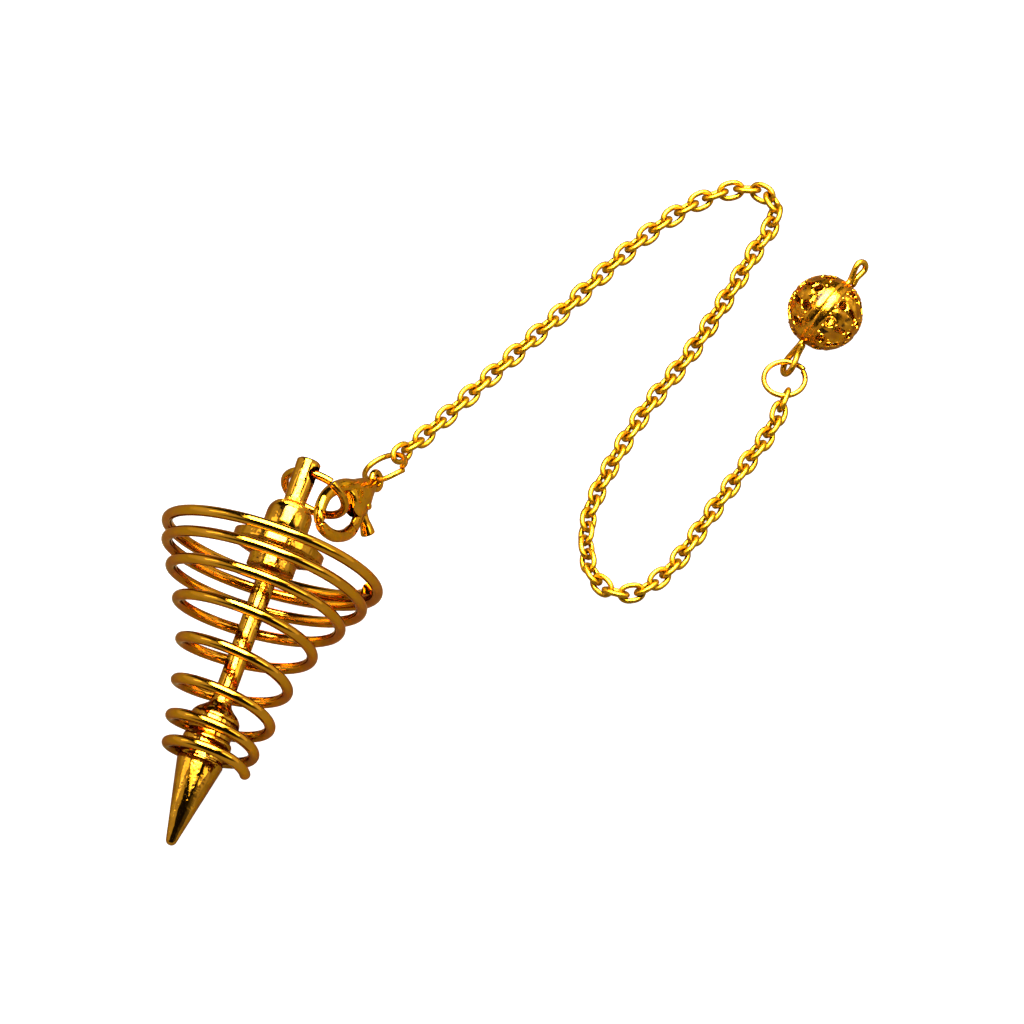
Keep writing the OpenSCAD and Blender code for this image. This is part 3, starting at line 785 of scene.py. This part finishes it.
nubRows = [  # (x, y, width, thickness)
    (4.1, 1.5, 1.5, 0.9), (4.15, 2.3, 1.25, 1.0), (4.15, 3.0, 1.25, 1.1), (4.1, 3.5, 1.4, 1.3),
    (4.1, 4.0, 1.6, 1.45), (4.1, 4.4, 1.7, 1.5),
]


def barPiece(name, rows, steps=4):
    # a rod of oval section along a flat path; its thickness is set apart from its width
    path = smoothPath([(x, y, 0) for x, y, w, t in rows], steps)
    widths = smoothPath([(w, t, 0) for x, y, w, t in rows], steps)
    piece = wirePiece(name, path, 0.5, sides=20, swell=[w.x for w in widths])
    # each vertex takes the thickness of the nearest station
    for vertex in piece.data.vertices:
        flat = Vector((vertex.co.x, vertex.co.y, 0))
        k = min(range(len(path)), key=lambda i: (path[i] - flat).length)
        vertex.co.z *= widths[k].y / widths[k].x
    return piece


def bodyPiece(name, rows, ridge):
    # oval sections drawn out along X, with a soft ridge along each cheek
    bpy.ops.object.select_all(action="DESELECT")
    dense = smoothPath([(x, (low + high) / 2, 0) for x, low, high, t in rows], 3)
    sizes = smoothPath([(high - low, t, 0) for x, low, high, t in rows], 3)
    bpy.ops.mesh.primitive_circle_add(vertices=32, radius=1, fill_type="NGON", location=dense[0],
                                      rotation=(0, math.pi / 2, 0))
    piece = named(name)
    bpy.ops.object.transform_apply()
    for vertex in piece.data.vertices:
        vertex.co.z *= 1 - ridge + ridge * vertex.co.z ** 2
    bpy.ops.object.mode_set(mode="EDIT")
    bpy.ops.transform.resize(value=(1, sizes[0].x / 2, sizes[0].y / 2), center_override=dense[0])
    for i in range(1, len(dense)):
        bpy.ops.mesh.extrude_region_move(
            TRANSFORM_OT_translate={"value": dense[i] - dense[i - 1]})
        bpy.ops.transform.resize(
            value=(1, sizes[i].x / sizes[i - 1].x, sizes[i].y / sizes[i - 1].y),
            center_override=dense[i])
    bpy.ops.mesh.select_all(action="SELECT")
    bpy.ops.mesh.normals_make_consistent(inside=False)
    bpy.ops.object.mode_set(mode="OBJECT")
    return piece


def claspPlace(look):
    return (Matrix.Translation(centreShift + Vector(look["eyeAt"]))
            @ Matrix.Rotation(math.radians(look["heading"]), 4, "Z")
            @ Matrix.Rotation(math.radians(-look["rise"]), 4, "Y")
            @ Matrix.Rotation(math.radians(look["roll"]), 4, "X"))


def cylinderAt(location, across, depth):
    bpy.ops.object.select_all(action="DESELECT")
    bpy.ops.mesh.primitive_cylinder_add(vertices=48, radius=across / 2, depth=depth,
                                        location=location)
    return bpy.context.object


def castSmooth(piece, voxel):
    # melts the joins as casting and tumbling do
    applyModifier(piece, "REMESH", mode="VOXEL", voxel_size=voxel, adaptivity=0)
    applyModifier(piece, "SMOOTH", factor=0.5, iterations=3)


def buildBody(look, rivetAt):
    outer, wire = look["eye"]
    bpy.ops.object.select_all(action="DESELECT")
    bpy.ops.mesh.primitive_torus_add(major_segments=64, minor_segments=20,
                                     major_radius=ringRadius(outer, wire), minor_radius=wire / 2)
    eye = bpy.context.object
    body = bodyPiece("claspBody", bodyRows, look["ridge"])
    cutWith(body, barPiece("hook", hookRows), "UNION")
    cutWith(body, eye, "UNION")
    castSmooth(body, look["voxel"])
    bpy.ops.object.select_all(action="DESELECT")
    bpy.ops.mesh.primitive_cube_add(size=1, location=rivetAt + Vector(look["slotOff"]),
                                    scale=look["slot"])
    cutWith(body, bpy.context.object)
    rivet = cylinderAt(rivetAt, look["rivet"], look["rivetLength"])
    softenEdges(rivet, look["rivetEdge"], 30, segments=3)
    return joinPieces("claspBody", [body, rivet])


def buildLever(look, rivetAt):
    lever = barPiece("claspLever", leverRows)
    cutWith(lever, barPiece("nub", nubRows), "UNION")
    cutWith(lever, cylinderAt(rivetAt, *look["knuckle"]), "UNION")
    castSmooth(lever, look["voxel"])
    bore = look["rivet"] + 2 * look["rivetPlay"]
    cutWith(lever, cylinderAt(rivetAt, bore, 2 * look["rivetLength"]))
    return lever


def buildClasp(look):
    # gold-plated cast brass, tumbled smooth: broad mirror patches with soft edges
    finish = platedMetal("platedTumbledCasting", look)
    place = claspPlace(look)
    rivetAt = Vector(look["rivetAt"]).to_3d()
    settle(buildBody(look, rivetAt), place, "root", ["clasp_body"], finish, 40)
    settle(buildLever(look, rivetAt), place, "lever", ["clasp_lever"], finish, 40)


buildClasp(clasp)


# chain

chain = {
    "pitch": 1.76,
    "width": 2.24,
    "wire": 0.6,
    "play": 0.13,             # what the links hang free of each other
    "startAngle": 53,         # where the first link hangs on the clasp ring, in plan
    "endAngle": 277,          # where the last one hangs on the end ring
    "roll": 45,               # the links lean to the left and right in turn
    "lastRoll": 70,
    "lift": 0.05,             # off the table
    "oval": 0.55,             # under 1 the links' ends are rounder
    "colour": "#A87C10",
    "deepColour": "#8A5E08",
    "roughness": (0.28, 0.4),
    "tintSize": 0.9,
    "waveSize": 0.8,
    "waveHeight": 0.05,
    "grainSize": 0.15,
    "grainHeight": 0.006,
}
chainPoints = [  # (x, y) along the chain, before the shift
    (-9.2, 9.1), (-3.4, 15.5), (5.1, 24.8), (13.5, 34.2), (18.7, 38.6), (22.4, 40.5),
    (24.6, 40.9), (26.7, 40.4), (27.9, 38.6), (27.5, 36.2), (25.8, 33.0), (22.3, 26.1),
    (18.7, 19.5), (13.7, 11.8), (9.9, 4.1), (8.1, -1.0), (7.8, -4.8), (8.3, -8.2), (9.9, -10.5),
    (12.6, -11.1), (15.1, -9.5), (17.3, -7.0), (21.6, 0.3), (24.7, 5.5), (27.4, 10.1),
]


def hangingReach(outer, wire, play):
    # from a ring's middle to where a link hangs on its wire
    return ringRadius(outer, wire) - (wire + play) / 2


def chainRoute(look):
    # a smooth path from ring to ring through the chosen points
    tilt, turn = math.radians(claspRing["tilt"]), math.radians(claspRing["turn"])
    start, end = math.radians(look["startAngle"]), math.radians(look["endAngle"])
    reach = hangingReach(claspRing["outer"], claspRing["wire"], look["play"])
    first = (ringPlace(claspRing).translation
             + reach * unit((math.cos(start), math.sin(start),
                             -math.tan(tilt) * math.cos(start - turn))))
    reach = hangingReach(*endRing["part"], look["play"])
    final = (ringPlace(endRing).translation
             + reach * Vector((math.cos(end), math.sin(end), 0)))
    height = ((look["width"] - look["wire"]) / 2 * math.sin(math.radians(look["roll"]))
              + look["wire"] / 2 + look["lift"])
    route = [first] + [centreShift + Vector((x, y, height)) for x, y in chainPoints] + [final]

    def way(i):
        # the curve's direction at a point: level but at its two ends
        step = route[min(i + 1, len(route) - 1)] - route[max(i - 1, 0)]
        if 0 < i < len(route) - 1:
            step.z = 0
        return step.normalized()

    fine = []
    for i in range(len(route) - 1):
        a, b = route[i], route[i + 1]
        span = (b - a).length
        leave, arrive = way(i) * span, way(i + 1) * span
        for k in range(10):
            t = k / 10
            fine.append(a + t * leave + t * t * (3 * (b - a) - 2 * leave - arrive)
                        + t ** 3 * (2 * (a - b) + leave + arrive))
    fine.append(route[-1])
    return fine


def evenSteps(path, pitch):
    # the places where link meets link, evenly spaced along the path
    lengths = [0]
    for a, b in zip(path, path[1:]):
        lengths.append(lengths[-1] + (b - a).length)
    count = round(lengths[-1] / pitch)
    step = lengths[-1] / count
    joints = []
    for i in range(count + 1):
        at = step * i
        k = max(j for j in range(len(path) - 1) if lengths[j] <= at + 1e-9)
        share = (at - lengths[k]) / (lengths[k + 1] - lengths[k])
        joints.append(path[k].lerp(path[k + 1], share))
    return joints, step


def buildChain(look):
    joints, step = evenSteps(chainRoute(look), look["pitch"])
    bend = (look["width"] - look["wire"]) / 2
    stretch = (step + look["wire"] + look["play"]) / 2 - bend
    # one round link pulled out into an oval
    bpy.ops.object.select_all(action="DESELECT")
    bpy.ops.mesh.primitive_torus_add(major_segments=30, minor_segments=12, major_radius=bend,
                                     minor_radius=look["wire"] / 2)
    link = named("oneLink")
    for vertex in link.data.vertices:
        lean = vertex.co.x / math.hypot(vertex.co.x, vertex.co.y)
        vertex.co.x += math.copysign(stretch * abs(lean) ** look["oval"], lean)
    links = []
    count = len(joints) - 1
    for i in range(count):
        a, b = joints[i], joints[i + 1]
        way = b - a
        roll = look["lastRoll"] if i == count - 1 else look["roll"]
        if i % 2:
            roll = -roll
        one = link.copy()
        one.data = link.data.copy()
        bpy.context.scene.collection.objects.link(one)
        one.data.transform(Matrix.Translation((a + b) / 2)
                           @ Matrix.Rotation(math.atan2(way.y, way.x), 4, "Z")
                           @ Matrix.Rotation(-math.asin(way.z / way.length), 4, "Y")
                           @ Matrix.Rotation(math.radians(roll), 4, "X"))
        links.append(one)
    bpy.data.objects.remove(link)
    piece = joinPieces("chainLinks", links)
    # gold-plated brass cable chain, barrel polished: pale, with a soft sparkle on every link
    finish = platedMetal("platedCableChain", look)
    settle(piece, Matrix.Identity(4), "root", ["chain"], finish, 60)


buildChain(chain)


# eye pin and ball

ball = {
    "diameter": 8.0,
    "inset": 0.04,            # leaves room for the lips inside the part's own ball
    "shell": 0.5,
    "at": (33.05, 22.8, 4.0),
    "heading": 50,            # the way of the pin, in plan and upwards
    "rise": 18,
    "seamRoll": 12.6,
    "groove": 0.972,          # the seam's depth, as a share of the radius
    "pinHole": 0.38,          # radius
    "rows": [                 # latitude from the seam, count, width, length if longer than wide
        (24, 10, 1.0, 0), (46, 8, 0.6, 1.5), (69, 6, 0.75, 0),
    ],
    "lip": {"outside": 0.08, "radius": 0.1, "sink": 0.03},
    "grains": {"count": 3, "radius": 0.2, "outside": 0.36, "sink": 0.12, "uneven": 0.03},
    "edge": 0.03,
    "colour": "#C08216",
    "deepColour": "#9A5E0A",
    "roughness": (0.12, 0.28),
    "tintSize": 1.0,
    "waveSize": 1.3,
    "waveHeight": 0.10,
    "grainSize": 0.25,
    "grainHeight": 0.012,
    "relief": {"size": 1.05, "height": 0.24, "plainBand": (0.7, 1.1)},
}
pin = {
    "wire": 0.66,
    "fold": 0.3,              # the loops fold back by this, the radius of the part's own wire
    "standOff": 0.35,         # from the ball to the start of each loop
    "lower": {"reach": 3.5, "half": 1.05, "heading": 54, "rise": 36, "roll": 225},
    "upper": {"reach": 2.4, "half": 0.63, "heading": 49, "rise": 18, "roll": 62},
}


def pinWay(heading, rise):
    h, r = math.radians(heading), math.radians(rise)
    return Vector((math.cos(h) * math.cos(r), math.sin(h) * math.cos(r), math.sin(r)))


def rolledSide(way, roll):
    # a direction square to the way, level at no roll
    level = unit((-way.y, way.x, 0))
    turn = math.radians(roll)
    return math.cos(turn) * level + math.sin(turn) * way.cross(level)


def eyeLoop(loop, start, side, fold):
    # out along one side, round the end and back beside its own start
    half = loop["half"]
    far = loop["reach"] - half
    path = [(0, 0), (0.35 * far, 0.4 * half), (0.75 * far, 0.85 * half)]
    for k in range(9):
        a = math.radians(22.5 * k)
        path.append((far + half * math.sin(a), half * math.cos(a)))
    path += [(0.75 * far, -0.92 * half), (0.4 * far, -0.5 * half - 0.6 * fold),
             (0.02, -2 * fold - 0.06), (-0.1, -2 * fold - 0.05)]
    way = side * pinWay(loop["heading"], loop["rise"])
    aside = rolledSide(way, loop["roll"])
    return [start + x * way + y * aside for x, y in path]


def buildPin(look, carried):
    centre = centreShift + Vector(carried["at"])
    out = (carried["diameter"] / 2 + look["standOff"]) * pinWay(carried["heading"],
                                                                carried["rise"])
    lower, upper = centre - out, centre + out
    points = eyeLoop(look["lower"], lower, -1, look["fold"])[::-1]
    points += [lower.lerp(upper, share) for share in (0.04, 0.1, 0.5, 0.9, 0.96)]
    points += eyeLoop(look["upper"], upper, 1, look["fold"])
    piece = wirePiece("eyePinWire", smoothPath(points, 5), look["wire"] / 2)
    settle(piece, Matrix.Identity(4), "root", ["eye_pin"], paleFinish)


def longer(piece, extra):
    # pulls a round form out along X
    for vertex in piece.data.vertices:
        vertex.co.x += math.copysign(extra / 2, vertex.co.x)


def holeCutter(look, radius, width, extra):
    bpy.ops.object.select_all(action="DESELECT")
    bpy.ops.mesh.primitive_cylinder_add(vertices=32, radius=width / 2, depth=3 * look["shell"],
                                        location=(0, 0, radius - look["shell"] / 2))
    bpy.ops.object.transform_apply()
    hole = bpy.context.object
    if extra:
        longer(hole, extra)
    return hole


def raisedLip(look, radius, width, extra):
    lip = look["lip"]
    across = width / 2 + lip["outside"]
    bpy.ops.object.select_all(action="DESELECT")
    bpy.ops.mesh.primitive_torus_add(
        major_segments=32, minor_segments=8, major_radius=across, minor_radius=lip["radius"],
        location=(0, 0, math.sqrt(radius ** 2 - across ** 2) - lip["sink"]))
    bpy.ops.object.transform_apply()
    piece = bpy.context.object
    if extra:
        longer(piece, extra)
        for vertex in piece.data.vertices:
            vertex.co.z -= abs(vertex.co.x) ** 2 / (2 * radius)
    return piece


def smallGrain(look, radius, width, k):
    grains = look["grains"]
    a = 2 * math.pi * (k + 0.5) / grains["count"]
    off = width / 2 + grains["outside"]
    uneven = random.uniform(-grains["uneven"], grains["uneven"])
    bpy.ops.object.select_all(action="DESELECT")
    bpy.ops.mesh.primitive_uv_sphere_add(segments=12, ring_count=8, radius=grains["radius"])
    piece = bpy.context.object
    height = math.sqrt(radius ** 2 - off ** 2) - grains["sink"] + uneven
    piece.data.transform(Matrix.Translation((off * math.cos(a), off * math.sin(a), height)))
    return piece


def hollowBall(look, radius):
    bpy.ops.object.select_all(action="DESELECT")
    bpy.ops.mesh.primitive_uv_sphere_add(segments=96, ring_count=64, radius=radius)
    piece = named("piercedBall")
    for vertex in piece.data.vertices:
        # the two halves meet in a fine groove
        if abs(vertex.co.z) < 0.01:
            vertex.co *= look["groove"]
    applyModifier(piece, "SOLIDIFY", thickness=look["shell"], offset=-1)
    return piece


def buildBall(look):
    radius = look["diameter"] / 2 - look["inset"]
    random.seed(7)
    piece = hollowBall(look, radius)
    bpy.ops.object.select_all(action="DESELECT")
    bpy.ops.mesh.primitive_cylinder_add(vertices=40, radius=look["pinHole"], depth=10,
                                        rotation=(math.pi / 2, 0, 0))
    bpy.ops.object.transform_apply()
    cutters = [bpy.context.object]
    trims = []
    for side in (0, math.pi):
        for latitude, count, width, length in look["rows"]:
            extra = max(length - width, 0)
            for k in range(count):
                place = (Matrix.Rotation(side, 4, "X")
                         @ Matrix.Rotation(2 * math.pi * (k + 0.5) / count, 4, "Z")
                         @ Matrix.Rotation(math.radians(90 - latitude), 4, "Y"))
                hole = holeCutter(look, radius, width, extra)
                # a raised lip round each opening, and grains between the round ones
                around = [raisedLip(look, radius, width, extra)]
                if not extra:
                    around += [smallGrain(look, radius, width, g)
                               for g in range(look["grains"]["count"])]
                for form in [hole] + around:
                    form.data.transform(place)
                cutters.append(hole)
                trims += around
    cutWith(piece, joinPieces("cutters", cutters))
    softenEdges(piece, look["edge"], 50, segments=1)
    piece = joinPieces("piercedBall", [piece] + trims)
    axis = pinWay(look["heading"], look["rise"])
    pole = rolledSide(axis, look["seamRoll"])
    turn = Matrix((axis.cross(pole), axis, pole)).transposed().to_4x4()
    place = Matrix.Translation(centreShift + Vector(look["at"])) @ turn
    # gold-plated stamped brass shell: thin, dented, with lips and grains that catch the light
    finish = platedMetal("platedStampedShell", look, place)
    settle(piece, place, "grip", ["ball"], finish, 40)


buildPin(pin, ball)
buildBall(ball)

print("pieces done")
